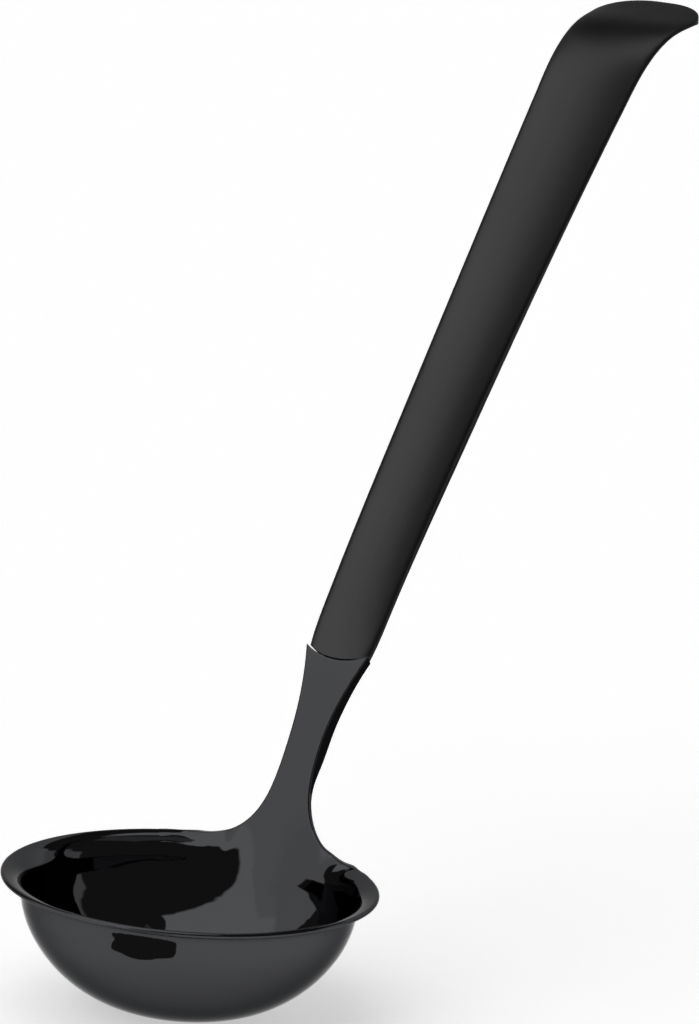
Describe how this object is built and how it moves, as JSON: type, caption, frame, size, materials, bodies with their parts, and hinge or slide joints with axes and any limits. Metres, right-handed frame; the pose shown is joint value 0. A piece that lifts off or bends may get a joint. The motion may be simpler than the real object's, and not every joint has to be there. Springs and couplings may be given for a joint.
{
  "type": "soup ladle",
  "caption": "Soup ladle with a deep round bowl, a flared lip that sweeps up into a channel neck, and a slim hollow handle with a bent-back end.",
  "frame": {"origin": "middle of the small flat foot under the bowl, on its lower face", "axes": "+Z along the bowl's axis, up out of its mouth; +X from the bowl's axis towards the handle, which rises in the XZ plane"},
  "size_m": [0.2576, 0.0898, 0.2276],
  "materials": {
    "head_dark_mirror": "mirror polished, dark coated",
    "tang_steel": "dark coated",
    "handle_black": "satin",
    "socket_plastic": "matte",
    "pin_steel": "plain"
  },
  "bodies": {
    "root": {"bowl_and_neck": "head_dark_mirror", "tang_bar": "tang_steel", "handle_front_shell": "handle_black", "handle_back_shell": "handle_black", "tang_socket": "socket_plastic", "tang_pins": "pin_steel"}
  },
  "joints": []
}
